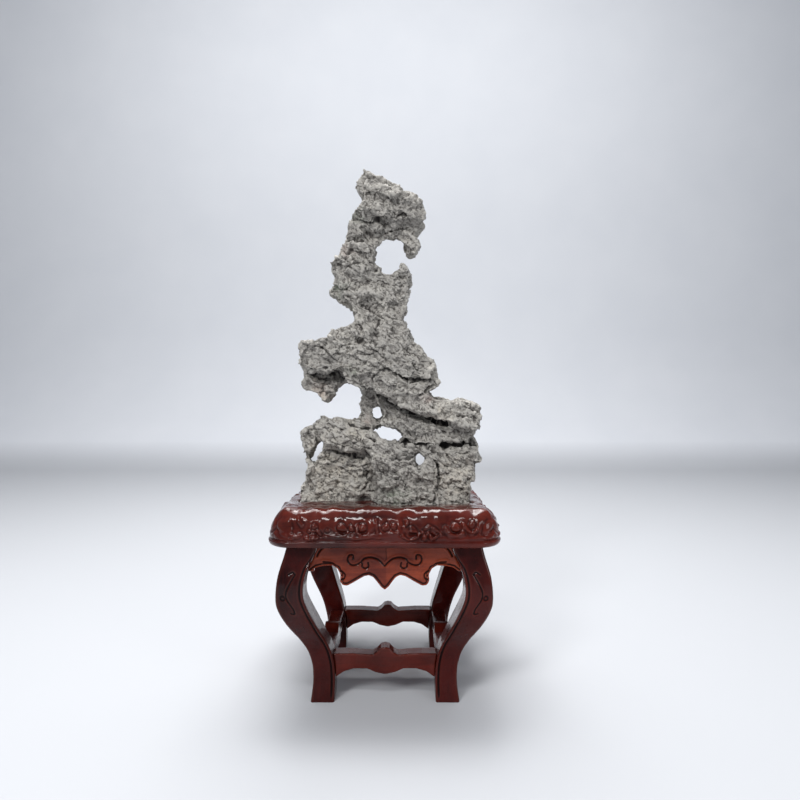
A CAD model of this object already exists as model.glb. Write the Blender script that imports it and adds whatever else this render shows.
"""The finish of a scholar's rock: a tall pierced grey stone on a carved stand in red lacquer.

Lengths are in millimetres until they are put into a mesh; the stage is in metres.  The object
faces -Y.
"""

import math

import bmesh
import bpy
import numpy as np
from mathutils import Matrix, Vector, noise


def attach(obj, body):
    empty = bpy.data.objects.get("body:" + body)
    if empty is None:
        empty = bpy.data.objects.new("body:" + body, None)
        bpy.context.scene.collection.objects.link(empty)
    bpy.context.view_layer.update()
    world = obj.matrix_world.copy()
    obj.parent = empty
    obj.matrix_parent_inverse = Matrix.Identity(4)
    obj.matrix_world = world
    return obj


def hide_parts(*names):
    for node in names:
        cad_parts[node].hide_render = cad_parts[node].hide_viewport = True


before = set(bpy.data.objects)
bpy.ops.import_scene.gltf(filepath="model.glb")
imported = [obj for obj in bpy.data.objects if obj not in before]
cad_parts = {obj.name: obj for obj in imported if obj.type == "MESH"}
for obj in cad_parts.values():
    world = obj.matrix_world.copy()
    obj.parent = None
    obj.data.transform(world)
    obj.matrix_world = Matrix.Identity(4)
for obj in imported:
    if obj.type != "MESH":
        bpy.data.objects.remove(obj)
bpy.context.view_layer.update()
noise.seed_set(7)               # wandering lines go the same way every time

MM = 0.001                      # metres in a millimetre

# ---- the viewer: a level camera in front, a little to the right of the middle
EYE_X, EYE_Y, EYE_Z = 18.0, -783.0, 363.0
FRAME_SIZE = 800                # width and height of the frame
FOCAL = 578.0                   # frame units to one unit of width at one unit of distance
SENSOR = 36.0

# ---- the stone's surface
STONE_GRAIN = 1.15     # size at which its skin is rebuilt
STONE_FACES = 192000            # triangles that are kept of it
STONE_FOOT = 229.0              # height of its flat foot

MERGE = 0.02                    # corners of CAD triangles nearer than this are one corner
GROOVE_DIRT = 0.35              # how much deeper a cut groove counts when dirt settles


# ---------------------------------------------------------------- mesh helpers


def mesh_points(mesh):
    """The vertices as an array in millimetres."""
    flat = np.empty(len(mesh.vertices) * 3, np.float32)
    mesh.vertices.foreach_get("co", flat)
    return flat.reshape(-1, 3).astype(float) / MM


def mesh_normals(mesh):
    """The vertex normals as an array."""
    flat = np.empty(len(mesh.vertices) * 3, np.float32)
    mesh.vertex_normals.foreach_get("vector", flat)
    return flat.reshape(-1, 3).astype(float)


def set_points(mesh, points):
    """Put the vertices back, from millimetres."""
    mesh.vertices.foreach_set("co", (points * MM).astype(np.float32).ravel())
    mesh.update()


def store(mesh, name, values):
    """Keep a value for each vertex, for the materials to read."""
    layer = mesh.attributes.new(name, "FLOAT", "POINT")
    layer.data.foreach_set("value", np.asarray(values, np.float32))


def merged_node(name):
    """A copy of a CAD node's mesh in a bmesh, its loose triangles joined."""
    bm = bmesh.new()
    bm.from_mesh(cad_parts[name].data)
    bmesh.ops.remove_doubles(bm, verts=bm.verts, dist=MERGE * MM)
    return bm


def finished_mesh(bm, name):
    """The bmesh as a mesh, its faces pointing outwards."""
    bmesh.ops.recalc_face_normals(bm, faces=bm.faces)
    mesh = bpy.data.meshes.new(name)
    bm.to_mesh(mesh)
    bm.free()
    return mesh


def put_in_scene(thing):
    """Link an object to the scene."""
    bpy.context.scene.collection.objects.link(thing)


def with_modifier(mesh, kind, weights=None, **settings):
    """The mesh after one modifier; weights say how strongly it works at each vertex."""
    holder = bpy.data.objects.new("holder", mesh)
    put_in_scene(holder)
    if weights is not None:
        group = holder.vertex_groups.new(name="weights")
        for i, weight in enumerate(weights):
            group.add([i], weight, "REPLACE")
        settings["vertex_group"] = group.name
    modifier = holder.modifiers.new("step", kind)
    for setting, value in settings.items():
        setattr(modifier, setting, value)
    graph = bpy.context.evaluated_depsgraph_get()
    graph.update()
    result = bpy.data.meshes.new_from_object(holder.evaluated_get(graph))
    bpy.data.objects.remove(holder, do_unlink=True)
    return result


def edge_array(mesh):
    """The two ends of each edge."""
    ends = np.empty(len(mesh.edges) * 2, np.int32)
    mesh.edges.foreach_get("vertices", ends)
    return ends.reshape(-1, 2)


def relaxed(values, ends, rounds, share=0.5):
    """Values at the vertices, each drawn part of the way to its neighbours' mean, some rounds."""
    values = np.array(values, float)
    count = len(values)
    degree = np.bincount(ends.ravel(), minlength=count).astype(float)
    degree[degree == 0] = 1.0
    columns = values.reshape(count, -1)
    for _ in range(rounds):
        for c in range(columns.shape[1]):
            column = columns[:, c]
            total = np.bincount(ends[:, 0], column[ends[:, 1]], count)
            total += np.bincount(ends[:, 1], column[ends[:, 0]], count)
            columns[:, c] = column + share * (total / degree - column)
    return columns.reshape(values.shape)


def hollowness(mesh, rounds):
    """How far each vertex lies below (positive) or above (negative) its smoothed surroundings."""
    points, ends = mesh_points(mesh), edge_array(mesh)
    smooth = relaxed(points, ends, rounds)
    return np.einsum("ij,ij->i", smooth - points, mesh_normals(mesh))


def store_hollows(mesh, fine_rounds, broad_rounds, grooves=0.0):
    """Keep how hollow the surface is on a fine and on a broad scale; grooves add to the fine."""
    store(mesh, "fine_hollow", hollowness(mesh, fine_rounds) + GROOVE_DIRT * grooves)
    store(mesh, "broad_hollow", hollowness(mesh, broad_rounds))


def distance_to_stretch(points, start, end):
    """Distance from each 2-D point to a straight stretch."""
    run = end - start
    share = np.clip((points - start) @ run / (run @ run), 0.0, 1.0)
    gap = points - start - share[:, None] * run
    return np.hypot(gap[:, 0], gap[:, 1])


def distance_to_line(points, line):
    """Distance from each 2-D point to a line of points."""
    nearest = np.full(len(points), np.inf)
    line = np.array(line, float)
    for start, end in zip(line[:-1], line[1:]):
        nearest = np.minimum(nearest, distance_to_stretch(points, start, end))
    return nearest


def distance_to_place(points, across, down):
    """Distance from each 2-D point to one place."""
    return np.hypot(points[:, 0] - across, points[:, 1] - down)


def bell(values, width=1.0):
    """1 where a value is 0, and an even fall on both sides of it, to a third at the width."""
    return np.exp(-(values / width) ** 2)


def waves(points, scale):
    """Smooth noise at each point, about -1 to 1: a larger scale makes smaller waves."""
    return np.array([noise.noise(Vector(p) * scale) for p in points])


def drift(points, scale):
    """A smooth wander at each point, in two directions."""
    return np.array([noise.noise_vector(Vector(p) * scale)[:2] for p in points])


def smooth_step(low, high, values):
    """0 at low, 1 at high, and an even curve between them."""
    share = np.clip((values - low) / (high - low), 0.0, 1.0)
    return share * share * (3.0 - 2.0 * share)


def in_frame(points):
    """Where the viewer sees each point, in the frame's own units from its upper left."""
    scale = FOCAL / (points[:, 1] - EYE_Y)
    across = 0.5 * FRAME_SIZE + (points[:, 0] - EYE_X) * scale
    down = 0.5 * FRAME_SIZE - (points[:, 2] - EYE_Z) * scale
    return np.column_stack((across, down))


def toward_viewer(points, normals):
    """How squarely each point faces the viewer: 1 faces it and 0 is edge on."""
    sight = np.array([EYE_X, EYE_Y, EYE_Z]) - points
    sight /= np.linalg.norm(sight, axis=1)[:, None]
    return np.einsum("ij,ij->i", sight, normals)


def add_object(name, mesh, material):
    """A smooth object of one material, at the origin."""
    mesh.name = name
    mesh.materials.clear()
    mesh.materials.append(material)
    mesh.polygons.foreach_set("use_smooth", [True] * len(mesh.polygons))
    made = bpy.data.objects.new(name, mesh)
    put_in_scene(made)
    return made


def add_piece(name, mesh, material, slot, *nodes):
    """A finished piece of the object, in place of CAD nodes."""
    piece = add_object(name, mesh, material)
    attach(piece, "root")
    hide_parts(*nodes)


# ---------------------------------------------------------------- the stone

# What is on its front, placed as the viewer sees it: across and down are in the frame's units,
# and widths, depths, heights and the radii of hollows and swellings are in millimetres.
# A crack: width, depth, and its line of (across, down).
CRACKS = [
    (3.2, 7, [(368, 391), (378, 396), (388, 401), (396, 406), (405, 409), (415, 413),
                (425, 416), (432, 420), (450, 424)]),
    (2.2, 4, [(335, 372), (345, 379), (360, 385), (367, 391)]),
    (2.4, 4.5, [(385, 369), (395, 373), (405, 378), (418, 380), (430, 380)]),
    (2.2, 4, [(371, 379), (378, 372), (386, 369)]),
    (2, 3.5, [(379, 320), (376, 330), (375, 336), (374, 345)]),
    (2, 3.2, [(361, 301), (370, 308), (380, 317), (391, 326)]),
    (1.8, 3, [(384, 315), (394, 319), (403, 320)]),
    (1.8, 3, [(364, 345), (371, 351), (377, 353), (383, 359)]),
    (1.6, 2.6, [(337, 350), (343, 346), (350, 345)]),
    (2.4, 4.5, [(322, 348), (328, 353), (335, 360)]),
    (3, 5.5, [(310, 372), (320, 376), (334, 374)]),
    (1.6, 2.6, [(393, 333), (398, 338), (403, 348), (413, 356)]),
    (1.6, 2.6, [(411, 364), (417, 370), (424, 367)]),
    (2.6, 5, [(420, 396), (427, 391), (432, 386)]),
    (3, 4.5, [(351, 217), (362, 221), (372, 223), (380, 219)]),
    (2.4, 3.6, [(380, 218), (392, 219), (402, 215), (410, 221)]),
    (2.2, 3.4, [(346, 241), (358, 240), (365, 241), (372, 239)]),
    (2.2, 3.4, [(386, 234), (394, 230), (403, 229)]),
    (2, 3, [(372, 182), (382, 184), (391, 186)]),
    (1.6, 2.4, [(376, 190), (373, 200), (372, 208)]),
    (1.8, 2.8, [(340, 262), (350, 261), (357, 258)]),
    (2, 3.2, [(365, 256), (370, 262), (375, 263)]),
    (1.8, 2.6, [(382, 282), (388, 284), (395, 285)]),
    (2.4, 4, [(351, 425), (360, 428), (372, 430)]),
    (1.8, 2.4, [(331, 421), (340, 422)]),
    (2, 3.2, [(330, 441), (335, 444), (341, 445), (345, 443)]),
    (1.8, 2.6, [(348, 447), (357, 447)]),
    (2.2, 4, [(324, 449), (330, 450), (338, 453), (348, 454), (360, 457), (364, 457)]),
    (2, 3.2, [(361, 440), (365, 446), (369, 451), (371, 457)]),
    (2, 3, [(329, 454), (328, 459), (335, 464), (339, 459), (343, 459)]),
    (1.8, 2.6, [(346, 465), (352, 467), (361, 468), (367, 465)]),
    (2, 3.2, [(365, 469), (369, 472), (368, 484), (365, 492)]),
    (2.6, 4, [(377, 481), (376, 490), (378, 503)]),
    (2, 3.4, [(374, 470), (380, 473), (388, 475)]),
    (1.8, 2.6, [(392, 479), (399, 480), (407, 485)]),
    (2.8, 4.5, [(393, 458), (402, 459), (414, 456)]),
    (2.4, 4, [(437, 466), (439, 478), (438, 485), (436, 497), (434, 504)]),
    (1.8, 2.8, [(427, 446), (434, 450), (440, 456)]),
    (1.8, 2.8, [(439, 462), (443, 464), (449, 467)]),
    (1.6, 2.4, [(445, 455), (450, 461), (456, 465), (463, 467)]),
    (2.6, 3.2, [(457, 452), (463, 454), (468, 453)]),
    (3.2, 6, [(398, 441), (415, 443), (440, 443), (460, 444), (478, 443)]),
]

# A hollow: (across, down, radius, depth).
HOLLOWS = [
    (360, 341, 4, 4.5), (365, 343, 3.4, 4), (356, 338, 2.4, 3), (369, 235, 8, 5.5),
    (338, 362, 6, 6), (384, 284, 3.2, 3.5),
    (393, 283, 2.6, 3), (384, 293, 2.2, 3), (382, 300, 2.6, 3.2), (351, 267, 2.6, 3),
    (376, 272, 2.2, 2.4), (358, 287, 2.8, 3), (374, 321, 2.6, 3.4), (360, 327, 2.6, 3),
    (361, 333, 2.8, 2.8), (399, 326, 2.8, 2.6), (413, 345, 2.8, 3.2), (368, 193, 3, 3.2),
    (367, 205, 2.8, 3), (378, 211, 3.2, 3.4), (383, 230, 3, 3), (396, 232, 4, 3.6),
    (406, 250, 3.2, 2.6), (411, 251, 2.6, 3.4), (347, 257, 2.6, 2.6), (391, 199, 2.6, 2.4),
    (407, 197, 2.8, 2.8), (412, 211, 2.6, 2.6), (396, 210, 2.2, 2.4), (315, 384, 2.6, 3),
    (324, 391, 2.2, 2.6), (398, 413, 2.4, 3.6), (407, 415, 2.2, 3.2), (383, 420, 2.4, 3.2),
    (394, 423, 2.2, 3), (388, 410, 2, 2.6), (375, 412, 2, 2.6), (321, 434, 1.8, 2.6),
    (327, 435, 1.6, 2.6), (312, 445, 1.6, 2.2), (360, 441, 2, 2.6), (356, 441, 1.8, 2.2),
    (395, 353, 2.4, 2.6), (413, 384, 3, 3), (352, 320, 2.2, 2.6), (392, 303, 2, 2.4),
    (341, 330, 2.2, 2.6), (470, 472, 1.8, 2.6), (417, 450, 7, 3.6), (433, 503, 3, 3.4),
    (390, 470, 1.8, 2.2), (397, 466, 1.8, 2.2), (382, 466, 1.8, 2.2), (447, 480, 1.8, 2),
    (457, 476, 1.6, 2), (341, 476, 2, 2.2), (316, 486, 2.2, 2.2), (331, 490, 1.8, 2),
]

# A swelling: (across, down, radius, height).
SWELLINGS = [
    (395, 225, 11, 2.6), (431, 372, 8, 2.4), (315, 352, 12, 2.2), (325, 395, 10, 1.8),
    (364, 402, 7, 1.8), (458, 440, 5, 2.4), (467, 441, 4, 2), (424, 405, 10, 1.6),
    (340, 436, 12, 1.8), (404, 332, 10, 2), (385, 342, 8, 1.6), (445, 400, 12, 1.6),
]

# A place where a plain hole of the solid is rounded out: (across, down, radius), all in the
# frame's units.
RAGGED_PLACES = [(362, 341, 10), (371, 235, 9), (338, 352, 8), (432, 503, 8)]

WANDER, WANDER_SCALE = 1.6, 0.09        # how far cracks and hollows stray from their places
TREMBLE, TREMBLE_SCALE = 1.3, 0.31      # and how their edges shake
LIP_RISE = 0.16                 # height of the lips of a crack, as a share of its depth
HOLLOW_SHARE = 0.8              # depth that is cut of a hollow's own depth
SPLIT_DEPTH = 3.5               # depth at which a crack is wholly dark

# How high or deep the weather works on the whole surface
EVEN_RISE = 1.35
ROUGH_RISE, ROUGH_SCALE = 1.9, 0.085
BLOCK_RISE, BLOCK_SIZE = 1.6, 14.0
CHIP_RISE, CHIP_SIZE = 0.7, 6.0
SCALLOP_RISE, SCALLOP_SIZE = 1.5, 9.5
STROKE_DEPTH = 2.4
PIT_DEPTH = 1.7
CREASE_DEPTH = 2.2
JOINT_DEPTH = 1.2
PATCH_SCALE = 0.028             # the patches in which it is worn more or less
SCALLOP_EDGE, SCALLOP_MEAN = 0.75, 0.42     # its highest value and its middle one
BLOCK_SHUFFLE = 37.3            # sets neighbouring blocks at unlike heights
# how narrow each is: the larger, the narrower
CREASE_SHARPNESS, JOINT_SHARPNESS, STROKE_SHARPNESS, PIT_SHARPNESS = 11.0, 8.0, 6.5, 5.0
LEAN_COS, LEAN_SIN = 0.84, 0.54         # the slant of the furrows, down to the right


def stone_scallops(point, size):
    """Long shallow hollows with sharp edges between them: high on an edge, low in a hollow."""
    lie = Vector((0.62 * point.x, point.y, (point.z + 0.35 * point.x) * 1.7)) / size
    gaps, _ = noise.voronoi(lie + noise.noise_vector(lie * 0.45) * 1.1)
    return min(SCALLOP_EDGE, gaps[0]) - SCALLOP_MEAN


def stone_creases(point):
    """Cracks that run across the stone: 1 in the bottom of one and 0 away from it."""
    warp = noise.noise_vector(point * 0.045) * 0.8
    lie = Vector((point.x * 0.045, point.y * 0.045, (point.z + 0.4 * point.x) * 0.105))
    return max(0.0, 1.0 - abs(noise.noise(lie + warp)) * CREASE_SHARPNESS)


def stone_blocks(point, size):
    """The height of the broken block under a point, and how near the point is to its edge."""
    lie = Vector((0.8 * point.x, point.y, (point.z + 0.25 * point.x) * 1.5)) / size
    lie += noise.noise_vector(point * 0.05) * 0.7
    gaps, centres = noise.voronoi(lie)
    step = 2.0 * noise.cell(centres[0] * BLOCK_SHUFFLE) - 1.0
    return step, max(0.0, 1.0 - (gaps[1] - gaps[0]) * JOINT_SHARPNESS)


def stone_strokes(point):
    """Short sharp furrows that run down to the right: 1 in the bottom of one."""
    lie = Vector((0.065 * (LEAN_COS * point.x - LEAN_SIN * point.z), 0.14 * point.y,
                  0.17 * (LEAN_SIN * point.x + LEAN_COS * point.z)))
    lie += noise.noise_vector(point * 0.07) * 0.45
    furrow = max(0.0, 1.0 - abs(noise.noise(lie)) * STROKE_SHARPNESS)
    return furrow * min(1.0, max(0.0, 0.25 + 3.0 * noise.noise(point * 0.085)))


def stone_pits(point):
    """Ragged little holes, crowded in some parts: 1 in the bottom of one."""
    lie = Vector((0.75 * point.x, point.y, point.z + 0.4 * point.x))
    deep = noise.noise(lie * 0.17) + 0.6 * noise.noise(lie * 0.42)
    crowd = 0.42 - 0.22 * noise.noise(point * 0.035)
    return min(1.0, max(0.0, (deep - crowd) * PIT_SHARPNESS))


def worn_relief(points):
    """How far the weather has moved each point in or out, in millimetres."""
    relief = np.empty(len(points))
    for i, (x, y, z) in enumerate(points):
        point = Vector((x, y, z))
        block, joint = stone_blocks(point, BLOCK_SIZE)
        chip, _ = stone_blocks(point.zxy, CHIP_SIZE)
        patchy = 0.5 + 0.5 * noise.noise(point * PATCH_SCALE)
        rough = noise.fractal(point * ROUGH_SCALE, 0.8, 2.1, 4)
        relief[i] = (EVEN_RISE + ROUGH_RISE * rough + BLOCK_RISE * block + CHIP_RISE * chip
                     + SCALLOP_RISE * stone_scallops(point, SCALLOP_SIZE) * (0.3 + patchy)
                     - STROKE_DEPTH * stone_strokes(point) - PIT_DEPTH * stone_pits(point)
                     - CREASE_DEPTH * stone_creases(point) * patchy
                     - JOINT_DEPTH * joint * patchy)
    return relief


def placed_relief(points, normals):
    """What the cracks, hollows and swellings of the front raise, and the depth of the cracks."""
    seen = in_frame(points)
    seen += drift(points, WANDER_SCALE) * WANDER + drift(points, TREMBLE_SCALE) * TREMBLE
    unit = (points[:, 1] - EYE_Y) / FOCAL       # millimetres in a unit of the frame
    fade = smooth_step(0.05, 0.35, toward_viewer(points, normals))
    cut = np.zeros(len(points))
    rise = np.zeros(len(points))
    for width, depth, line in CRACKS:
        near = distance_to_line(seen, line) * unit
        cut = np.maximum(cut, depth * bell(near, 0.55 * width))
        rise = np.maximum(rise, LIP_RISE * depth * bell(near - 1.3 * width, width))
    split = cut.copy()
    for across, down, radius, depth in HOLLOWS:
        near = distance_to_place(seen, across, down) * unit / radius
        cut = np.maximum(cut, HOLLOW_SHARE * depth * np.exp(-1.1 * near ** 3))
    for across, down, radius, height in SWELLINGS:
        rise += height * bell(distance_to_place(seen, across, down) * unit, radius)
    return (rise - cut) * fade, split * fade


def softened(points, ends):
    """The front with the plain holes of the solid rounded out at the ragged places."""
    seen = in_frame(points)
    share = np.zeros(len(points))
    for across, down, radius in RAGGED_PLACES:
        near = distance_to_place(seen, across, down) / radius
        share = np.maximum(share, 1.0 - smooth_step(0.7, 1.3, near))
    share[points[:, 1] > 0.0] = 0.0
    smooth = relaxed(points, ends, 60)
    return points + (smooth - points) * share[:, None]


def stone_mesh():
    """The stone, its skin rebuilt finely and worn all over, and thinned where it can't be seen."""
    mesh = finished_mesh(merged_node("scholars_rock"), "stone_skin")
    mesh = with_modifier(mesh, "REMESH", mode="VOXEL", voxel_size=STONE_GRAIN * MM)
    ends = edge_array(mesh)
    points = relaxed(mesh_points(mesh), ends, 3)
    points = softened(points, ends)
    set_points(mesh, points)
    normals = relaxed(mesh_normals(mesh), ends, 2)
    # the weather works less inside the cuts of the solid and a little less on its sides
    calm = 1.0 - 0.85 * smooth_step(0.3, 1.4, hollowness(mesh, 12))
    calm *= 1.0 - 0.2 * smooth_step(0.75, 0.3, np.abs(normals[:, 1]))
    placed, split = placed_relief(points, normals)
    relief = calm * worn_relief(points) + placed
    # the foot stays flat, so that the stone stands in its seat
    base = smooth_step(0.3, 3.0, points[:, 2] - STONE_FOOT)
    points = points + normals * (relief * base)[:, None]
    points[:, 2] = np.maximum(points[:, 2], STONE_FOOT)
    set_points(mesh, points)
    # the deepest parts are evened out, which takes away spikes
    deep = smooth_step(0.7, 2.0, hollowness(mesh, 8)) * (points[:, 2] > STONE_FOOT + 1.0)
    set_points(mesh, points + (relaxed(points, ends, 3) - points) * deep[:, None])
    store(mesh, "crack", np.clip(split / SPLIT_DEPTH, 0.0, 1.0))
    store_hollows(mesh, 3, 30)
    away = smooth_step(0.1, -0.4, toward_viewer(points, normals))
    store(mesh, "far_side", away)
    return with_modifier(mesh, "DECIMATE", 0.9 * away,
                         ratio=STONE_FACES / (2.0 * len(mesh.polygons)),
                         use_collapse_triangulate=True)


# ---------------------------------------------------------------- the stand's top

GAP = 0.3                       # clearance kept between pieces that touch
SEAT_Z = 228.7                  # bottom of the seat that the stone stands in
TOP_UNDERSIDE_Z = 195.0
TOP_HALF_WIDTH = 135.5
TOP_CORNER_RADIUS = 30.0
TOP_STEPS = 1000                # divisions round the edge
DISH_INSETS = [135.5, 104.0] + [90.0 - 2.4 * ring for ring in range(28)]
DISH_Z = 229.8
# the moulding of the edge, from the dish out and down to the underside: (inset, height)
EDGE_MOULDING = [
    (22.6, 229.8), (16, 229.4), (11, 227.9), (7.2, 225), (4.8, 220.6), (3.6, 215.8),
    (3.2, 212.2), (2.4, 210.4), (1.5, 208.8), (1.3, 206.8), (1.7, 205), (1.8, 204),
    (0.7, 203.2), (0, 202.3), (0, 201), (0.5, 199), (2.2, 196.6), (6.5, 195),
]
UNDERSIDE_INSETS = [30, 70, 135.5]
CREST_RISE = 8.5                # how far the rolled top stands above the dish
CREST_INSET = 22.0              # distance in from the edge at which it is highest
COLLAR_RISE = 2.6               # wall of the seat that the stone sits down into
BAND_LOW, BAND_HIGH = 205.5, 227.5      # heights between which the edge is carved
CLOUD_DRIFT, CLOUD_DRIFT_SCALE = 2.4, 0.11      # how the carving strays, as hand work does
ROLL_RISE, ROLL_SCALE = 3.0, 0.028      # the slow roll of the shoulder
RIPPLE_RISE, RIPPLE_SCALE = 1.5, 0.075  # its ripples
BUMP_RISE, BUMP_SCALE = 0.6, 0.15       # and its smallest bumps
LIP_Z, LIP_HEIGHT, LIP_RIPPLE = 200.6, 3.0, 0.35    # the lip under the band

# Carved clouds on the edge of the front, and turned to the other sides.  A bud is a dome in a moat:
# (along the side, height, radius, rise).  A ridge is a raised roll: its width, its rise, and its
# line of (along the side, height).
BUDS = [
    (-113, 218, 9, 1.6), (-78, 219, 3.6, 2), (-73, 213, 3, 1.8), (-84, 214, 2.6, 1.6),
    (-80, 209, 3, 1.6), (-63, 215, 2.4, 1.4), (-48, 218, 5.2, 2.4), (-37, 218, 3.4, 2.2),
    (-24, 218, 5, 2.4), (2, 219, 3.6, 2), (11, 220, 3.4, 2), (25, 223, 3.6, 2.2),
    (33, 216, 4.2, 1.8), (45, 208, 2.6, 2.2), (53, 208.5, 3.2, 2.4), (57, 215, 4, 1.8),
    (80, 219, 5, 2.4), (99, 221, 4.4, 2.2), (117, 216, 6, 1.6),
]
RIDGES = [
    (2.6, 1.8, [(-65, 210), (-58, 209), (-48, 208), (-36, 209), (-24, 208), (-13, 210),
                (0, 210.5), (14, 212.5)]),
    (1.7, 1.8, [(-99, 228), (-96, 225), (-93, 221)]),
    (1.6, 2, [(-88, 207), (-82, 206), (-76, 207)]),
    (1.6, 1.8, [(-10.5, 224), (-9.5, 218), (-8, 212)]),
    (1.4, 1.6, [(-30, 220), (-31, 214), (-27, 210)]),
    (1.5, 1.8, [(23, 226), (28, 224), (22, 219), (24, 215.5), (31, 214), (36, 213),
                (38, 209)]),
    (1.5, 2, [(22, 209), (29, 206.5), (37, 207.5), (43, 214), (45, 206), (51, 213),
                (54, 206), (60, 211)]),
    (1.4, 1.6, [(46, 217), (52, 218), (60, 216), (64, 211)]),
    (1.8, 2, [(68, 219), (71, 213), (78, 210), (88, 212)]),
    (1.8, 2, [(88, 222), (91, 217), (97, 213), (103, 215)]),
    (1.6, 1.4, [(-106, 212), (-100, 209), (-95, 212)]),
]

# Knobs on the upper shoulder: (side, along the side, inset, radius, height); sides turn from 0,
# the front, to 1, the right, 2, the back, and 3, the left.
KNOBS = [
    (3, -12, 12, 9, 3.6), (3, 8, 15, 7, 3.2), (3, -48, 12, 10, 2.6), (3, 52, 13, 9, 2.8),
    (1, 6, 13, 8, 2.2), (1, 44, 13, 9, 2.4), (1, -52, 13, 8, 1.8),
    (2, -30, 13, 9, 2.6), (2, 36, 13, 9, 2.6), (2, 84, 13, 8, 2.2), (2, -86, 13, 8, 2.2),
]


def way_round(share, half, radius):
    """A point on a square with rounded corners, at a share of the way round from mid-front."""
    flat = half - radius
    quarter = 2.0 * flat + 0.5 * math.pi * radius
    gone = share * 4.0 * quarter + flat
    side, along = int(gone // quarter) % 4, gone % quarter
    if along <= 2.0 * flat:
        x, y = along - flat, -half
    else:
        turn = (along - 2.0 * flat) / radius if radius else 0.0
        x, y = flat + radius * math.sin(turn), -flat - radius * math.cos(turn)
    for _ in range(side):
        x, y = -y, x
    return x, y


def stone_foot_edges():
    """The edges of the stone's flat foot, in X and Y."""
    bm = merged_node("scholars_rock")
    level = (STONE_FOOT + 0.05) * MM
    edges = []
    for edge in bm.edges:
        low = all(v.co.z < level for v in edge.verts)
        if low and any(any(v.co.z > level for v in face.verts) for face in edge.link_faces):
            edges.append([(v.co.x / MM, v.co.y / MM) for v in edge.verts])
    bm.free()
    return np.array(edges)


def distance_to_foot(points, edges):
    """How far each (x, y) is outside the stone's foot; inside it is negative."""
    nearest = np.full(len(points), np.inf)
    inside = np.zeros(len(points), bool)
    for start, end in edges:
        nearest = np.minimum(nearest, distance_to_stretch(points, start, end))
        if start[1] != end[1]:
            spans = (start[1] > points[:, 1]) != (end[1] > points[:, 1])
            slope = (end[0] - start[0]) / (end[1] - start[1])
            inside ^= spans & (points[:, 0] < start[0] + (points[:, 1] - start[1]) * slope)
    return np.where(inside, -nearest, nearest)


def smooth_moulding(line, parts):
    """A line of points rounded into a smooth curve, with some parts to each stretch."""
    line = np.array(line, float)
    padded = np.vstack((2 * line[0] - line[1], line, 2 * line[-1] - line[-2]))
    curve = []
    for a, b, c, d in zip(padded, padded[1:], padded[2:], padded[3:]):
        for step in range(parts):
            t = step / parts
            curve.append(0.5 * (2 * b + (c - a) * t + (2 * a - 5 * b + 4 * c - d) * t * t
                                + (3 * b - 3 * c + d - a) * t ** 3))
    curve.append(line[-1])
    return curve


def side_places(points):
    """Which side of the stand each point is on, how far along it, and how far out."""
    angle = np.arctan2(points[:, 0], -points[:, 1])
    side = np.round(angle / (0.5 * math.pi)).astype(int) % 4
    turn = side * 0.5 * math.pi
    along = points[:, 0] * np.cos(turn) + points[:, 1] * np.sin(turn)
    out = points[:, 0] * np.sin(turn) - points[:, 1] * np.cos(turn)
    return side, along, out


def curl_relief(along, height, lines, width, depth, roll):
    """Grooves with rolled edges that stand up by a share of their depth, along some lines."""
    places = np.column_stack((along, height))
    cut = np.zeros(len(along))
    rise = np.zeros(len(along))
    for line in lines:
        near = distance_to_line(places, smooth_moulding(line, 4))
        cut = np.maximum(cut, depth * bell(near, 0.55 * width))
        rise = np.maximum(rise, roll * depth * bell(near - 1.25 * width, 0.7 * width))
    return rise - cut


def cloud_relief(along, height):
    """The clouds carved round the edge: domes in moats, each with a raised rim below, and rolls."""
    places = np.column_stack((along, height))
    flat = np.column_stack((along, height, np.zeros(len(along))))
    places = places + drift(flat, CLOUD_DRIFT_SCALE) * CLOUD_DRIFT
    rise = np.zeros(len(along))
    for width, high, line in RIDGES:
        near = distance_to_line(places, smooth_moulding(line, 4))
        roll = np.clip(1.0 - near / (1.3 * width), 0.0, 1.0)
        rise += high * (roll - 0.3 * bell(near - 1.9 * width, 0.8 * width))
    for bud_along, bud_height, radius, high in BUDS:
        near = distance_to_place(places, bud_along, bud_height) / radius
        dome = np.sqrt(np.clip(1.0 - near ** 2, 0.0, 1.0))
        moat = bell(near - 1.15, 0.26)
        low = (bud_height - places[:, 1]) / np.maximum(near * radius, 0.1)
        bowl = bell(near - 1.65, 0.3) * np.clip(0.35 + 0.8 * low, 0.0, 1.0)
        rise += high * (0.7 * dome - 0.5 * moat + 0.55 * bowl)
    return rise


def top_mesh():
    """The top: a moulding turned and drawn out to a rounded square, then carved all round."""
    moulding = [(inset, DISH_Z) for inset in DISH_INSETS]
    moulding += smooth_moulding(EDGE_MOULDING, 4)
    moulding += [(inset, TOP_UNDERSIDE_Z) for inset in UNDERSIDE_INSETS]
    bm = bmesh.new()
    verts = [bm.verts.new(((TOP_HALF_WIDTH - inset) * MM, 0.0, height * MM))
             for inset, height in moulding]
    edges = [bm.edges.new(pair) for pair in zip(verts, verts[1:])]
    bmesh.ops.spin(bm, geom=verts + edges, cent=(0, 0, 0), axis=(0, 0, 1), dvec=(0, 0, 0),
                   angle=2.0 * math.pi, steps=TOP_STEPS, use_merge=True)
    bmesh.ops.remove_doubles(bm, verts=bm.verts, dist=0.01 * MM)
    for vert in bm.verts:
        reach = math.hypot(vert.co.x, vert.co.y) / MM
        share = (math.atan2(vert.co.x, -vert.co.y) / (2.0 * math.pi)) % 1.0
        radius = TOP_CORNER_RADIUS * reach / TOP_HALF_WIDTH
        x, y = way_round(share, reach, radius) if reach > 0.5 else (0.0, 0.0)
        vert.co.x, vert.co.y = x * MM, y * MM
    mesh = finished_mesh(bm, "top")
    carve_top(mesh)
    return mesh


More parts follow.
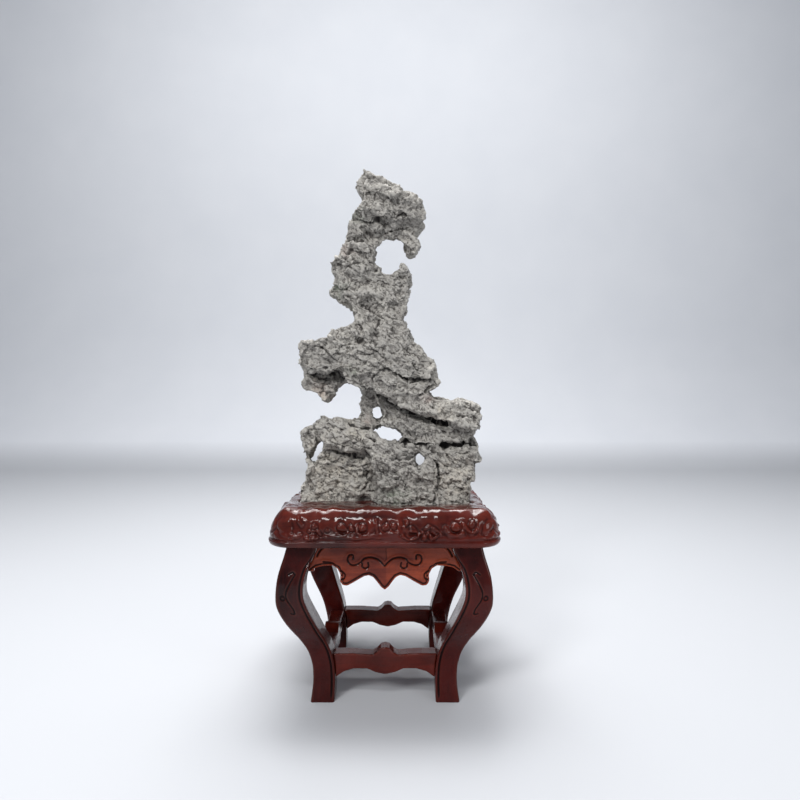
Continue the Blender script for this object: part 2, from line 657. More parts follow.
def crest(points, out):
    """How far the rolled top rises: most at the left, least at the right behind its corner."""
    rise = CREST_RISE * smooth_step(1.0, CREST_INSET, TOP_HALF_WIDTH - out)
    right = smooth_step(70.0, 120.0, points[:, 0]) * smooth_step(-110.0, -60.0, points[:, 1])
    left = smooth_step(80.0, 120.0, -points[:, 0])
    return rise * (1.0 - 0.75 * right + 0.15 * left) * (points[:, 2] > 206.0)


def seat_stone(points, out):
    """Sink a seat for the stone's foot into the top, with a low wall close round it."""
    top = (points[:, 2] > 222.0) & (out < TOP_HALF_WIDTH - 7.0)
    gap = distance_to_foot(points[top, :2], stone_foot_edges())
    uneven = 1.3 * waves(points[top], 0.045)
    ceiling = SEAT_Z + COLLAR_RISE + uneven + 0.13 * np.maximum(gap, 0.0)
    height = points[top, 2]
    over = np.maximum(height - ceiling, 0.0)
    height = height - over * (1.0 - smooth_step(20.0, 60.0, gap))
    points[top, 2] = SEAT_Z + (height - SEAT_Z) * smooth_step(0.5, 3.2, gap)


def carve_top(mesh):
    """Cut the clouds in the edge, roll the shoulder, add the knobs and sink the stone's seat."""
    points, normals = mesh_points(mesh), mesh_normals(mesh)
    side, along, out = side_places(points)
    flip = np.where(side % 2 == 1, -1.0, 1.0)
    band = smooth_step(BAND_LOW - 1, BAND_LOW + 1, points[:, 2])
    band *= 1.0 - smooth_step(BAND_HIGH - 4, BAND_HIGH, points[:, 2])
    band *= smooth_step(TOP_HALF_WIDTH - 22, TOP_HALF_WIDTH - 14, out)
    carved = np.zeros(len(points))
    chosen = band > 0.01
    carved[chosen] = cloud_relief((along * flip)[chosen], points[chosen, 2])
    relief = carved * band
    upper = smooth_step(202.0, 212.0, points[:, 2])
    ripple = waves(points, RIPPLE_SCALE)
    relief += upper * (ROLL_RISE * waves(points, ROLL_SCALE) + RIPPLE_RISE * ripple
                       + BUMP_RISE * waves(points, BUMP_SCALE))
    for knob_side, place, inset, radius, height in KNOBS:
        near = np.hypot(along - place, TOP_HALF_WIDTH - inset - out) / radius
        on = (side == knob_side) & (points[:, 2] > 212.0)
        knob = height * (np.exp(-near ** 4) - 1.6 * np.exp(-((near - 0.15) * 3.2) ** 2))
        relief += np.where(on, np.where(near < 2.5, knob, 0.0), 0.0)
    relief += bell(points[:, 2] - LIP_Z, LIP_HEIGHT) * LIP_RIPPLE * ripple
    points += normals * relief[:, None]
    points[:, 2] += crest(points, out)
    seat_stone(points, out)
    set_points(mesh, points)
    store_hollows(mesh, 4, 24)
    store(mesh, "tone", 0.5 + 0.45 * (points[:, 0] / TOP_HALF_WIDTH))


# ---------------------------------------------------------------- the legs

# a leg's square section, down its S-curve: (height, inner offset, outer offset) from the centre
LEG_SECTIONS = [
    (194.7, 78, 113.5), (182, 82.5, 116.5), (171, 87.2, 119.8), (160, 91, 122.6),
    (148, 92.8, 124.2), (136, 92.2, 124.6), (125, 88.8, 123.4), (113, 84.2, 119.4),
    (101, 79.4, 113.6), (90, 75.2, 107.2), (79, 70.6, 100.4), (68, 66.4, 94.8),
    (56, 63.2, 90.4), (42, 61, 87.4), (26, 60.2, 86.8), (12, 60.4, 88),
    (0, 61, 89.5),
]
LEG_ROUND = 0.085               # rounding of a leg's edges, as a share of its width
LEG_COLUMNS, LEG_ROWS = 26, 190         # cuts across and along a leg
BEAD_WIDTH = 3.9                # from a leg's inner edge to the groove beside it
GROOVE_DEPTH, GROOVE_WIDTH = 1.9, 1.25
BEAD_RISE = 0.5
# the scroll on a leg's outer faces, as (distance from the inner edge, height)
LEG_SCROLL = [(12, 163), (13.8, 158), (16.5, 151), (19, 144), (19.3, 137),
              (17, 129), (15.5, 122.5), (17, 117.5), (20.5, 118)]
LEG_SCROLL_TAIL = [(12, 163), (16, 165.5), (19.5, 163)]
LEG_RING = (23.5, 137.0, 2.3)   # a small ring beside the scroll: its middle and radius
LEFT_LEG_TONE, RIGHT_LEG_TONE = 0.35, 0.75      # the lacquer is lighter on the right
LEG_CORNERS = {"front_left": 180, "front_right": 270, "back_right": 0, "back_left": 90}


def leg_offsets(heights):
    """Inner and outer offsets of a leg's sides from the centre, smoothly along its height."""
    curve = np.array(smooth_moulding(LEG_SECTIONS, 8))[::-1]
    inner = np.interp(heights, curve[:, 0], curve[:, 1])
    outer = np.interp(heights, curve[:, 0], curve[:, 2])
    return inner, outer


def leg_carving(across, heights):
    """Groove, bead, scroll and ring on one outer face, by distance from its inner edge."""
    edge = BEAD_WIDTH * (1.0 - smooth_step(168.0, 186.0, heights))
    groove = GROOVE_DEPTH * bell(across - edge, GROOVE_WIDTH)
    groove *= smooth_step(190.0, 184.0, heights)
    half = 0.5 * BEAD_WIDTH
    bead = BEAD_RISE * np.clip(1.0 - ((across - half) / half) ** 2, 0, 1)
    bead *= smooth_step(176.0, 168.0, heights)
    foot = smooth_step(2.0, 14.0, heights)
    relief = (bead - groove) * foot
    relief += curl_relief(across, heights, [LEG_SCROLL, LEG_SCROLL_TAIL], 1.35, 1.3, 0.2)
    middle_x, middle_z, radius = LEG_RING
    ring = np.hypot(across - middle_x, heights - middle_z) - radius
    return relief - bell(ring, 0.8)


def leg_mesh():
    """One square cabriole leg in the corner at +X and +Y, its two outer faces carved."""
    top = LEG_SECTIONS[0][0]
    bm = bmesh.new()
    place = Matrix.Translation((0.5, 0.5, 0.5 * top)) @ Matrix.Diagonal((1, 1, top, 1))
    bmesh.ops.create_cube(bm, size=1.0, matrix=place)
    upright = [e for e in bm.edges if abs(e.verts[0].co.z - e.verts[1].co.z) > 1.0]
    bmesh.ops.bevel(bm, geom=upright, offset=LEG_ROUND, offset_type="OFFSET", segments=4,
                    profile=0.5, affect="EDGES", material=-1)
    wide = [e for e in bm.edges if abs(e.verts[0].co.z - e.verts[1].co.z) < 1.0
            and e.calc_length() > 0.5]
    bmesh.ops.subdivide_edges(bm, edges=wide, cuts=LEG_COLUMNS, use_grid_fill=True)
    upright = [e for e in bm.edges if abs(e.verts[0].co.z - e.verts[1].co.z) > 1.0]
    bmesh.ops.subdivide_edges(bm, edges=upright, cuts=LEG_ROWS, use_grid_fill=True)
    mesh = finished_mesh(bm, "leg")
    points = mesh_points(mesh) * MM
    unit = points.copy()
    inner, outer = leg_offsets(points[:, 2])
    width = outer - inner
    points[:, 0] = inner + width * unit[:, 0]
    points[:, 1] = inner + width * unit[:, 1]
    set_points(mesh, points)
    normals = mesh_normals(mesh)
    relief = np.zeros(len(points))
    for face, other in ((0, 1), (1, 0)):
        on = smooth_step(0.94, 0.99, unit[:, face])
        relief += on * leg_carving(unit[:, other] * width, points[:, 2])
    grooves = np.clip(-relief, 0.0, 1.0)
    relief += 0.25 * waves(points, 0.05)
    inside = smooth_step(0.0, 2.0, points[:, 2]) * (1 - smooth_step(192.0, 194.0, points[:, 2]))
    points += normals * (relief * inside)[:, None]
    set_points(mesh, points)
    store_hollows(mesh, 4, 24, grooves)
    return mesh


# ---------------------------------------------------------------- aprons and stretchers

APRON_FACE = 105.0              # from the centre of the stand to the front of an apron
APRON_THICK = 14.0
# Lines on the right half of an apron, as (from its middle, height): its lower edge, what is cut
# in its face, and the seam between its two halves.
APRON_EDGE = [
    (0, 140), (4.5, 143.5), (9, 149.5), (13.5, 155), (18.5, 157.3), (24, 156),
    (30, 152.5), (37, 148.5), (44, 144.8), (49.5, 145.5), (52.5, 150), (52, 158),
    (55.5, 165), (61, 168.5), (73, 168), (80.5, 166.2), (86.5, 162),
]
APRON_SCROLL = [(0.5, 168.5), (5, 173.5), (10, 177), (17, 178.5), (24, 177),
                (28, 172.5), (34, 169.5), (40, 170), (43.5, 175), (42, 180.5),
                (37.5, 181), (37, 176.5)]
APRON_CURL = [(19.5, 172), (19, 167.5), (22.5, 165.5), (26, 167), (26.5, 171.5)]
APRON_LOBE_CURL = [(55, 153.5), (49, 152), (46.5, 157.5), (50.5, 162), (55, 159.5),
                   (53.5, 155.5), (50.5, 157)]
APRON_LEAF = [(56, 163.5), (62, 171.5), (72, 173)]
APRON_RIM = [(79.5, 180), (77, 185), (72.5, 190), (67.5, 196)]
APRON_SEAM = [(1.5, 166), (2, 180), (1.5, 196)]

STRETCHER_MIDDLE = 73.5         # from the centre of the stand to the middle of a rail
STRETCHER_THICK = 19.0
STRETCHER_TOP = [(0, 63), (5, 62), (9.5, 57), (15, 54), (40, 55.5)]
STRETCHER_FOOT = [(0, 30.5), (12, 33), (22, 37.5), (38, 37.5), (50, 34)]
STRETCHER_END = (27, 55.5)    # heights between which it meets a leg
STRETCHER_TONE = 0.55
SIDES = {"front": 0, "right": 90, "back": 180, "left": 270}
BOARD_GRAIN = 0.95              # size at which the boards' skin is rebuilt


def along_leg(low, high):
    """Points up the inner side of a leg, a gap away from it, between two heights."""
    bends = sorted(z for z, _, _ in LEG_SECTIONS if low < z < high)
    heights = np.array([low] + bends + [high])
    return [(x - GAP, z) for x, z in zip(leg_offsets(heights)[0], heights)]


def mirrored(line):
    """A line carried across the middle, from its left end to its right end."""
    return [(-x, z) for x, z in reversed(line) if x > 0.0] + list(line)


def flipped(line):
    """A line on the other side of the middle."""
    return [(-x, z) for x, z in line]


def board_mesh(name, outline, front, back):
    """A flat outline in X and Z extruded between two planes, its skin rebuilt finely."""
    bm = bmesh.new()
    verts = [bm.verts.new((x * MM, front * MM, z * MM)) for x, z in outline]
    face = bm.faces.new(verts)
    grown = bmesh.ops.extrude_face_region(bm, geom=[face])
    moved = [v for v in grown["geom"] if isinstance(v, bmesh.types.BMVert)]
    bmesh.ops.translate(bm, vec=(0.0, (back - front) * MM, 0.0), verts=moved)
    bmesh.ops.triangulate(bm, faces=bm.faces[:])
    mesh = with_modifier(finished_mesh(bm, name), "REMESH", mode="VOXEL",
                         voxel_size=BOARD_GRAIN * MM)
    set_points(mesh, relaxed(mesh_points(mesh), edge_array(mesh), 3, 0.4))
    return mesh


def finish_board(mesh, relief, tone):
    """Carve a board's front and keep what its finish reads."""
    points, normals = mesh_points(mesh), mesh_normals(mesh)
    uneven = relief + 0.18 * waves(points, 0.06)
    set_points(mesh, points + normals * uneven[:, None])
    store_hollows(mesh, 4, 24, np.clip(-relief, 0.0, 1.0))
    store(mesh, "tone", tone)


def apron_mesh():
    """A scalloped board with an incised scroll, curls on its lobes and a line along its edge."""
    top = TOP_UNDERSIDE_Z - GAP
    half = APRON_EDGE + along_leg(APRON_EDGE[-1][1], top)
    mesh = board_mesh("apron", mirrored(half), -APRON_FACE, -APRON_FACE + APRON_THICK)
    points, normals = mesh_points(mesh), mesh_normals(mesh)
    lines = [APRON_SCROLL, APRON_CURL, APRON_LOBE_CURL, APRON_LEAF, APRON_RIM]
    lines += [flipped(line) for line in lines]
    relief = curl_relief(points[:, 0], points[:, 2], lines, 1.75, 1.6, 0.3)
    edge = distance_to_line(points[:, (0, 2)], mirrored(APRON_EDGE))
    relief -= 1.4 * bell(edge - 2.6, 1.15)
    seam = distance_to_line(points[:, (0, 2)], APRON_SEAM)
    relief -= 0.35 * bell(seam, 0.6)
    facing = smooth_step(0.5, 0.9, -normals[:, 1])
    tone = 0.34 + 0.26 * smooth_step(0.5, 3.0, points[:, 0])
    finish_board(mesh, relief * facing, tone)
    return mesh


def stretcher_mesh():
    """A low rail with a small rise in its middle."""
    half = STRETCHER_FOOT + along_leg(*STRETCHER_END) + STRETCHER_TOP[::-1]
    outline = half + [(-x, z) for x, z in reversed(half) if x > 0.0]
    front = -STRETCHER_MIDDLE - 0.5 * STRETCHER_THICK
    mesh = board_mesh("stretcher", outline, front, front + STRETCHER_THICK)
    points = mesh_points(mesh)
    finish_board(mesh, np.zeros(len(points)), np.full(len(points), STRETCHER_TONE))
    return mesh


# ---------------------------------------------------------------- finishes


def feed(tree, socket, value):
    """Link a value to a socket, or set a plain one there."""
    if isinstance(value, bpy.types.NodeSocket):
        tree.links.new(value, socket)
    else:
        socket.default_value = value


def add_node(tree, kind, **settings):
    """A node with some of its settings given; a dictionary 'inputs' fills its sockets."""
    inputs = settings.pop("inputs", {})
    made = tree.nodes.new(kind)
    for setting, value in settings.items():
        setattr(made, setting, value)
    for socket, value in inputs.items():
        feed(tree, made.inputs[socket], value)
    return made


def new_group(name, inputs, outputs):
    """A shader group with named sockets: {name: kind}."""
    tree = bpy.data.node_groups.new(name, "ShaderNodeTree")
    for socket, kind in inputs.items():
        tree.interface.new_socket(socket, in_out="INPUT", socket_type="NodeSocket" + kind)
    for socket, kind in outputs.items():
        tree.interface.new_socket(socket, in_out="OUTPUT", socket_type="NodeSocket" + kind)
    return tree, tree.nodes.new("NodeGroupInput"), tree.nodes.new("NodeGroupOutput")


def spread(tree, value, low, high, to_low=0.0, to_high=1.0):
    """A value moved from one range to another, and held there."""
    ranged = add_node(tree, "ShaderNodeMapRange", clamp=True, inputs={
        "Value": value, "From Min": low, "From Max": high, "To Min": to_low, "To Max": to_high})
    return ranged.outputs["Result"]


def blend(tree, share, first, second):
    """Two colours mixed by a share of the second; the sockets are those of a mix of colours."""
    return add_node(tree, "ShaderNodeMix", data_type="RGBA",
                    inputs={0: share, 6: first, 7: second}).outputs[2]


def reckon(tree, operation, first, second=0.0):
    """One sum of two values."""
    return add_node(tree, "ShaderNodeMath", operation=operation,
                    inputs={0: first, 1: second}).outputs[0]


def times(tree, first, second):
    """Two values multiplied."""
    return reckon(tree, "MULTIPLY", first, second)


def stored(tree, name):
    """A value kept on the mesh."""
    return add_node(tree, "ShaderNodeAttribute", attribute_name=name).outputs["Fac"]


def clouds(tree, position, scale, detail=4.0, roughness=0.55, distortion=0.0):
    """Soft noise, as a value."""
    return add_node(tree, "ShaderNodeTexNoise", inputs={
        "Vector": position, "Scale": scale, "Detail": detail, "Roughness": roughness,
        "Distortion": distortion}).outputs["Fac"]


def recess_group():
    """Where dirt settles and where handling wears, from how hollow the surface is."""
    tree, given, out = new_group("recess_and_wear", {
        "Fine": "Float", "Broad": "Float", "Fine reach": "Float", "Broad reach": "Float",
        "Position": "Vector"}, {"Depth": "Float", "Recess": "Float", "Ridge": "Float"})
    fine = reckon(tree, "DIVIDE", given.outputs["Fine"], given.outputs["Fine reach"])
    broad = reckon(tree, "DIVIDE", given.outputs["Broad"], given.outputs["Broad reach"])
    both = reckon(tree, "ADD", fine, broad)
    ragged = clouds(tree, given.outputs["Position"], 420.0, 3.0)
    both = reckon(tree, "ADD", both, spread(tree, ragged, 0.3, 0.7, -0.18, 0.18))
    tree.links.new(both, out.inputs["Depth"])
    tree.links.new(spread(tree, both, 0.05, 1.0), out.inputs["Recess"])
    tree.links.new(spread(tree, both, -0.1, -0.9), out.inputs["Ridge"])
    return tree


def grain_group():
    """Long streaks of wood figure and short dark pores."""
    tree, given, out = new_group("wood_figure", {
        "Position": "Vector", "Streak scale": "Float", "Pore scale": "Float"},
        {"Streaks": "Float", "Pores": "Float"})
    long_way = add_node(tree, "ShaderNodeMapping", inputs={
        "Vector": given.outputs["Position"], "Scale": (0.09, 1.0, 1.0)}).outputs["Vector"]
    streaks = clouds(tree, long_way, given.outputs["Streak scale"], 5.0, 0.6, 0.6)
    pores = clouds(tree, long_way, given.outputs["Pore scale"], 2.0, 0.5)
    tree.links.new(spread(tree, streaks, 0.3, 0.72), out.inputs["Streaks"])
    tree.links.new(spread(tree, pores, 0.60, 0.72), out.inputs["Pores"])
    return tree


def fill(tree, sockets, **inputs):
    """Values for some sockets by name; _ in a name stands for a space."""
    for socket, value in inputs.items():
        feed(tree, sockets[socket.replace("_", " ")], value)


def use_group(tree, group, **inputs):
    """A shader group placed in a material with its own values."""
    placed = add_node(tree, "ShaderNodeGroup", node_tree=group)
    fill(tree, placed.inputs, **inputs)
    return placed.outputs


def surface_wear(tree, position, fine_reach, broad_reach):
    """The masks of dirt and handling for a mesh whose hollows are stored; reaches are in mm."""
    return use_group(tree, GROUPS["recess"], Fine=stored(tree, "fine_hollow"),
                     Broad=stored(tree, "broad_hollow"), Fine_reach=fine_reach,
                     Broad_reach=broad_reach, Position=position)


def bumped(tree, height, strength, distance):
    """A normal bent by a height."""
    return add_node(tree, "ShaderNodeBump", inputs={
        "Height": height, "Strength": strength, "Distance": distance}).outputs["Normal"]


def new_finish(name):
    """A material with its shader and the object's own coordinates."""
    material = bpy.data.materials.new(name)
    material.use_nodes = True
    tree = material.node_tree
    position = add_node(tree, "ShaderNodeTexCoord").outputs["Object"]
    return material, tree, tree.nodes["Principled BSDF"], position


# colours of the stone
PALE = (0.45, 0.428, 0.388, 1.0)
MIDDLE = (0.345, 0.327, 0.300, 1.0)
GREY = (0.285, 0.272, 0.258, 1.0)
SHADE = (0.075, 0.066, 0.061, 1.0)      # in its hollows
DEEP = (0.026, 0.023, 0.023, 1.0)       # in its deepest hollows and cracks
BLOOM = (0.53, 0.51, 0.465, 1.0)        # on its ridges
BEIGE = (0.60, 0.555, 0.475, 1.0)       # the four tints, in patches
DUSK = (0.17, 0.162, 0.155, 1.0)
GREEN = (0.17, 0.20, 0.15, 1.0)
ROSE = (0.37, 0.28, 0.25, 1.0)
TINTS = {"pale_tint": (BEIGE, 0.9), "dark_tint": (DUSK, 0.55), "green_tint": (GREEN, 0.7),
         "rose_tint": (ROSE, 0.6)}

# how fine its patterns are, in waves to a metre
VEILS, MOTTLES, SMUDGES, FURROWS, RUGGED = 14.0, 38.0, 120.0, 105.0, 150.0
BREAKS, CHIPS, HOLES, FLECKS, GRIT = 210.0, 260.0, 300.0, 420.0, 520.0
FURROW_LEAN = math.radians(35)
FURROW_STRETCH = (2.0, 1.0, 0.75)


def wrinkle_height(tree, position):
    """Furrows and grit of the stone too small for the mesh: a mask of the furrows and a height."""
    slanted = add_node(tree, "ShaderNodeMapping", vector_type="TEXTURE", inputs={
        "Vector": position, "Rotation": (0.0, FURROW_LEAN, 0.0),
        "Scale": FURROW_STRETCH}).outputs["Vector"]
    furrows = clouds(tree, slanted, FURROWS, 2.0, 0.6, 0.9)
    furrows = reckon(tree, "ABSOLUTE", reckon(tree, "SUBTRACT", furrows, 0.5))
    furrows = spread(tree, furrows, 0.075, 0.02)
    broken = spread(tree, clouds(tree, position, BREAKS, 2.0), 0.52, 0.60)
    furrows = times(tree, furrows, broken)
    holes = spread(tree, clouds(tree, slanted, HOLES, 2.0, 0.6), 0.63, 0.69)
    furrows = reckon(tree, "MAXIMUM", furrows, holes)
    chips = add_node(tree, "ShaderNodeTexVoronoi", inputs={
        "Vector": slanted, "Scale": CHIPS, "Randomness": 1.0}).outputs["Distance"]
    grit = clouds(tree, position, GRIT, 5.0, 0.75)
    height = reckon(tree, "ADD", times(tree, chips, 0.7), grit)
    height = reckon(tree, "SUBTRACT", height, times(tree, furrows, 1.4))
    # the far side of the stone has a coarser mesh, so more of its wear is made here
    rugged = times(tree, clouds(tree, slanted, RUGGED, 6.0, 0.7), 5.0)
    rugged = times(tree, rugged, stored(tree, "far_side"))
    return furrows, reckon(tree, "ADD", height, rugged)


def stone_finish():
    """Weathered grey limestone: mottled, dark in its cracks and pale on its ridges."""
    material, tree, shader, position = new_finish("weathered_stone")
    depth = surface_wear(tree, position, 0.80, 2.6)["Depth"]
    furrows, height = wrinkle_height(tree, position)
    mottle = spread(tree, clouds(tree, position, MOTTLES, 6.0, 0.62), 0.34, 0.66)
    fleck = spread(tree, clouds(tree, position, FLECKS, 4.0, 0.75), 0.38, 0.62)
    veil = spread(tree, clouds(tree, position, VEILS, 3.0), 0.42, 0.66)
    colour = blend(tree, mottle, MIDDLE, PALE)
    colour = blend(tree, times(tree, fleck, 0.5), colour, GREY)
    colour = blend(tree, times(tree, veil, 0.35), colour, PALE)
    for name, (tinted, share) in TINTS.items():
        colour = blend(tree, times(tree, stored(tree, name), share), colour, tinted)
    colour = blend(tree, spread(tree, depth, -0.2, -1.6, 0.0, 0.6), colour, BLOOM)
    colour = blend(tree, times(tree, furrows, 0.7), colour, SHADE)
    colour = blend(tree, spread(tree, depth, 0.25, 1.8, 0.0, 0.85), colour, SHADE)
    colour = blend(tree, spread(tree, depth, 1.5, 2.8), colour, DEEP)
    smudge = spread(tree, clouds(tree, position, SMUDGES, 3.0), 0.35, 0.6, 0.35, 1.0)
    crack = spread(tree, stored(tree, "crack"), 0.25, 1.0, 0.0, 0.75)
    colour = blend(tree, times(tree, crack, smudge), colour, DEEP)
    fill(tree, shader.inputs, Base_Color=colour, Normal=bumped(tree, height, 0.85, 0.0011),
         Roughness=spread(tree, mottle, 0.0, 1.0, 0.78, 0.94), Specular_IOR_Level=0.3)
    return material


# the darkest and lightest of each lacquer
LACQUER_TONES = {
    "deep": ((0.010, 0.0010, 0.0012, 1.0), (0.055, 0.0050, 0.0035, 1.0)),
    "dark": ((0.008, 0.0012, 0.0014, 1.0), (0.110, 0.0120, 0.0065, 1.0)),
    "warm": ((0.070, 0.0080, 0.0058, 1.0), (0.380, 0.0680, 0.0260, 1.0)),
}
GROOVE_COLOUR = (0.005, 0.002, 0.002, 1.0)
RUBBED_COLOUR = (0.15, 0.028, 0.011, 1.0)
# how fine its patterns are, in waves to a metre
DRIFTS, GLOSSES, SWELLS, SMEARS, STREAKS, PORES = 16.0, 26.0, 55.0, 60.0, 95.0, 420.0


def lacquer_finish(name, tones, turn=(0.0, 0.0, 0.0), grime=0.9, coat=0.8):
    """Deep gloss lacquer over figured wood; turn lays the grain along the piece.

    The mesh stores its tone, 0 dark and 1 light; grime darkens its hollows.
    """
    material, tree, shader, position = new_finish(name)
    lie = add_node(tree, "ShaderNodeMapping", inputs={
        "Vector": position, "Rotation": turn}).outputs["Vector"]
    figure = use_group(tree, GROUPS["grain"], Position=lie, Streak_scale=STREAKS,
                       Pore_scale=PORES)
    wear = surface_wear(tree, position, 0.30, 1.4)
    dark, light = LACQUER_TONES[tones]
    cloudy = spread(tree, clouds(tree, position, DRIFTS, 3.0), 0.36, 0.64, 0.0, 0.55)
    share = times(tree, figure["Streaks"], 0.55)
    share = reckon(tree, "ADD", share, cloudy)
    share = reckon(tree, "ADD", share, spread(tree, stored(tree, "tone"), 0.0, 1.0, -0.4, 0.4))
    colour = blend(tree, spread(tree, share, 0.0, 1.1), dark, light)
    colour = blend(tree, times(tree, figure["Pores"], 0.35), colour, dark)
    colour = blend(tree, times(tree, wear["Ridge"], 0.12), colour, RUBBED_COLOUR)
    colour = blend(tree, times(tree, wear["Recess"], grime), colour, GROOVE_COLOUR)
    smear = spread(tree, clouds(tree, position, SMEARS, 4.0), 0.35, 0.7, 0.20, 0.42)
    rough = reckon(tree, "ADD", smear, times(tree, wear["Recess"], 0.3))
    swell = clouds(tree, position, SWELLS, 2.0)
    height = reckon(tree, "ADD", swell, times(tree, figure["Streaks"], 0.05))
    gloss = spread(tree, clouds(tree, position, GLOSSES, 2.0), 0.42, 0.56, 0.8, 1.0)
    gloss = times(tree, gloss, spread(tree, wear["Recess"], 0.0, 1.0, coat, 0.35 * coat))
    fill(tree, shader.inputs, Base_Color=colour, Roughness=rough,
         Normal=bumped(tree, height, 0.25, 0.0012), Coat_Weight=gloss, Coat_Roughness=0.06,
         Coat_IOR=1.32, Specular_IOR_Level=0.05)
    return material


# ---------------------------------------------------------------- stage, lights, camera


PAPER_COLOURS = (0.735, 0.752, 0.785, 1.0), (0.76, 0.775, 0.805, 1.0)
FLOOR_COLOUR = (0.47, 0.48, 0.50, 1.0)
FLOOR_BLEND = 0.12              # height, in metres, at which the floor's colour has gone


def backdrop_finish():
    """Pale paper on the wall and a greyer floor."""
    material, tree, shader, position = new_finish("pale_paper")
    mottle = clouds(tree, position, 3.0, 2.0)
    colour = blend(tree, spread(tree, mottle, 0.3, 0.7), *PAPER_COLOURS)
    height = add_node(tree, "ShaderNodeSeparateXYZ", inputs={"Vector": position}).outputs["Z"]
    colour = blend(tree, spread(tree, height, FLOOR_BLEND, 0.0), colour, FLOOR_COLOUR)
    fill(tree, shader.inputs, Base_Color=colour, Roughness=0.9)
    return material


def add_backdrop():
    """A floor that curves up into a wall behind."""
    reach, height, bend = 3.0, 4.0, 0.8         # in metres
    bm = bmesh.new()
    line = [(reach, 0.0), (-reach + bend, 0.0)]
    line += [(-reach + bend - bend * math.sin(a), bend - bend * math.cos(a))
             for a in (math.radians(15 * step) for step in range(1, 7))]
    line.append((-reach, height))
    verts = [bm.verts.new((-1.6 * reach, -y, z)) for y, z in line]
    edges = [bm.edges.new(pair) for pair in zip(verts, verts[1:])]
    grown = bmesh.ops.extrude_edge_only(bm, edges=edges)
    moved = [v for v in grown["geom"] if isinstance(v, bmesh.types.BMVert)]
    bmesh.ops.translate(bm, vec=(3.2 * reach, 0.0, 0.0), verts=moved)
    add_object("backdrop", finished_mesh(bm, "backdrop"), backdrop_finish())


# Soft boxes, in metres and watts: (name, place, the point it faces, size, power).
OBJECT_MIDDLE = (0.0, 0.0, 0.3)
WALL_MIDDLE = (0.0, 3.0, 0.9)
LIGHTS = [
    ("overhead", (-0.1, 0.2, 1.9), OBJECT_MIDDLE, (1.0, 0.6), 20.0),
    ("overhead_left", (-0.26, 0.35, 1.9), OBJECT_MIDDLE, (0.26, 0.6), 6.0),
    ("overhead_right", (0.17, 0.35, 1.9), OBJECT_MIDDLE, (0.2, 0.6), 4.0),
    ("high_behind", (0.0, 1.1, 2.1), OBJECT_MIDDLE, (1.6, 0.6), 11.0),
    ("key", (-1.0, -1.7, 1.6), OBJECT_MIDDLE, (0.5, 0.5), 26.0),
    ("window", (-0.25, -1.5, 2.2), OBJECT_MIDDLE, (0.75, 0.22), 15.0),
    ("front_right", (1.5, -1.5, 0.9), OBJECT_MIDDLE, (0.6, 0.8), 8.0),
    ("wall_wash", (0.0, 0.9, 3.2), WALL_MIDDLE, (3.5, 1.0), 50.0),
]
SURROUND_COLOUR = (0.78, 0.82, 0.90, 1.0)
SURROUND_STRENGTH = 0.37


def light_scene():
    """Soft daylight from overhead and in front; the wall behind has light of its own."""
    world = bpy.data.worlds.new("pale_surround")
    bpy.context.scene.world = world
    world.use_nodes = True
    background = world.node_tree.nodes["Background"]
    background.inputs["Color"].default_value = SURROUND_COLOUR
    background.inputs["Strength"].default_value = SURROUND_STRENGTH
    for name, place, aim, size, power in LIGHTS:
        lamp = bpy.data.lights.new(name, "AREA")
        lamp.shape = "RECTANGLE"
        lamp.size, lamp.size_y = size
        lamp.energy = power
        light = bpy.data.objects.new(name, lamp)
        light.location = place
        light.rotation_mode = "QUATERNION"
        light.rotation_quaternion = (Vector(aim) - Vector(place)).to_track_quat("-Z", "Y")
        put_in_scene(light)
    bpy.context.scene.view_settings.view_transform = "Standard"


def add_camera():
    """A level camera at the viewer's eye."""
    lens = bpy.data.cameras.new("camera")
    lens.sensor_width = SENSOR
    lens.lens = FOCAL / FRAME_SIZE * SENSOR
    lens.clip_start, lens.clip_end = 0.01, 50.0
    camera = bpy.data.objects.new("camera", lens)
    camera.location = (EYE_X * MM, EYE_Y * MM, EYE_Z * MM)
    camera.rotation_euler = (math.radians(90), 0.0, 0.0)
    put_in_scene(camera)
    bpy.context.scene.camera = camera


# ---------------------------------------------------------------- the whole object

# Tinted patches on the front of the stone: (across, down, radius), all in the frame's units.
PATCHES = {
    "green_tint": [(338, 288, 9), (357, 216, 8), (395, 500, 16), (352, 372, 6), (330, 290, 6)],
    "rose_tint": [(321, 388, 10), (346, 252, 7), (367, 421, 6), (428, 398, 7), (330, 398, 6)],
    "pale_tint": [(335, 470, 36), (325, 495, 18), (318, 450, 14), (455, 480, 24),
                  (320, 395, 12), (440, 415, 12), (355, 432, 12)],
    "dark_tint": [(352, 235, 16), (376, 232, 14), (386, 485, 17), (380, 378, 22),
                  (403, 432, 16), (418, 450, 14), (330, 360, 12), (396, 225, 12),
                  (372, 176, 16), (385, 192, 18), (403, 196, 16), (410, 212, 12),
                  (352, 262, 14), (385, 400, 16), (405, 365, 14)],
}
BLOTCH_SCALE = 0.12             # the blotches that break the patches up


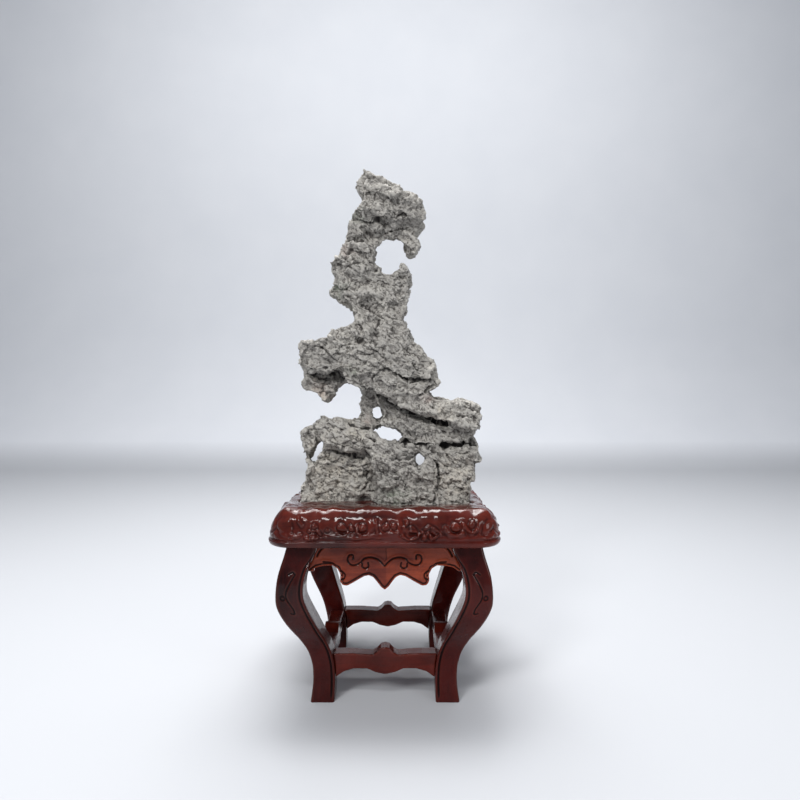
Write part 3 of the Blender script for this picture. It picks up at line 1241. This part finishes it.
def tint(points, patches):
    """How strongly a tint shows at each point: in its patches, and faintly elsewhere."""
    seen = in_frame(points)
    strength = np.zeros(len(points))
    for across, down, radius in patches:
        strength = np.maximum(strength, bell(distance_to_place(seen, across, down), radius))
    blotch = 0.5 + 0.5 * waves(points, BLOTCH_SCALE)
    return np.clip(strength * 1.3 * blotch + 0.35 * (blotch - 0.72), 0.0, 1.0)


def build_stone():
    """The stone, in its place in the seat."""
    mesh = stone_mesh()
    points = mesh_points(mesh)
    for name, patches in PATCHES.items():
        store(mesh, name, tint(points, patches))
    add_piece("weathered_rock", mesh, stone_finish(), "stone", "scholars_rock")


def turned_copy(mesh, degrees):
    """The same mesh, turned about the upright axis."""
    copy = mesh.copy()
    copy.transform(Matrix.Rotation(math.radians(degrees), 4, "Z"))
    return copy


def build_stand():
    """The stand: its top, four legs, and four aprons and rails, each a quarter turn on."""
    upright = (0.0, math.radians(90), 0.0)      # turns that lay the grain
    across = (0.0, 0.0, math.radians(90))
    top_lacquer = lacquer_finish("top_lacquer", "dark", grime=0.45, coat=1.0)
    add_piece("carved_top", top_mesh(), top_lacquer, "lacquered_wood", "stand_top")
    leg, leg_lacquer = leg_mesh(), lacquer_finish("leg_lacquer", "deep", upright)
    for corner, turn in LEG_CORNERS.items():
        mesh = turned_copy(leg, turn)
        tone = RIGHT_LEG_TONE if "right" in corner else LEFT_LEG_TONE
        foot = smooth_step(150.0, 60.0, mesh_points(mesh)[:, 2])
        store(mesh, "tone", tone + 0.2 * foot)
        add_piece("carved_leg_" + corner, mesh, leg_lacquer, "lacquered_wood", "leg_" + corner)
    apron, stretcher = apron_mesh(), stretcher_mesh()
    apron_lacquer = [lacquer_finish("apron_lacquer", "warm"),
                     lacquer_finish("side_apron_lacquer", "warm", across)]
    rail_lacquer = [lacquer_finish("rail_lacquer", "dark"),
                    lacquer_finish("side_rail_lacquer", "dark", across)]
    for step, (side, turn) in enumerate(SIDES.items()):
        add_piece("carved_apron_" + side, turned_copy(apron, turn), apron_lacquer[step % 2],
                  "lacquered_wood_light", "apron_" + side)
        add_piece("rail_" + side, turned_copy(stretcher, turn), rail_lacquer[step % 2],
                  "lacquered_wood", "stretcher_" + side)


GROUPS = {"recess": recess_group(), "grain": grain_group()}
build_stone()
build_stand()
add_backdrop()
light_scene()
add_camera()
